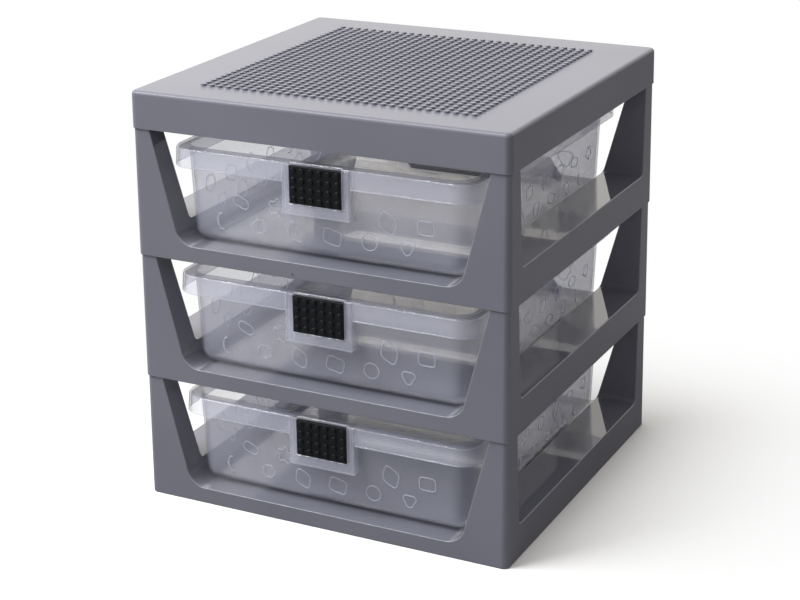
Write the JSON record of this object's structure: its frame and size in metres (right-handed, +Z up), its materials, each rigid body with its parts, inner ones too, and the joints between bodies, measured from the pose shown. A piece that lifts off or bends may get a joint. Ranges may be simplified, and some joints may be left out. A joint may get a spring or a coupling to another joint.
{
  "type": "stacking drawer unit",
  "caption": "Stacking storage unit of open plastic tiers under a studded cover, with translucent pull-out tub drawers whose handles are dark studded plates.",
  "frame": {"origin": "centre of the foot of the lowest tier, on the surface that the unit stands on", "axes": "+Z up, -Y is the front that the drawers are pulled out of, +X to the right as seen from the front"},
  "size_m": [0.345, 0.328, 0.3682],
  "materials": {
    "housing_grey": "satin moulded polypropylene",
    "drawer_clear": "translucent milky polypropylene",
    "handle_black": "glossy black"
  },
  "bodies": {
    "housing": {"top_cover": "housing_grey", "upper_frame": "housing_grey", "middle_frame": "housing_grey", "lower_frame": "housing_grey"},
    "drawer_upper": {"upper_drawer": "drawer_clear", "upper_handle_plate": "handle_black"},
    "drawer_middle": {"middle_drawer": "drawer_clear", "middle_handle_plate": "handle_black"},
    "drawer_lower": {"lower_drawer": "drawer_clear", "lower_handle_plate": "handle_black"}
  },
  "joints": [
    {"name": "upper_drawer_slide", "type": "slide", "parent": "housing", "child": "drawer_upper", "axis": [0, -1, 0], "range_m": [0, 0.28]},
    {"name": "middle_drawer_slide", "type": "slide", "parent": "housing", "child": "drawer_middle", "axis": [0, -1, 0], "range_m": [0, 0.28]},
    {"name": "lower_drawer_slide", "type": "slide", "parent": "housing", "child": "drawer_lower", "axis": [0, -1, 0], "range_m": [0, 0.28]}
  ]
}
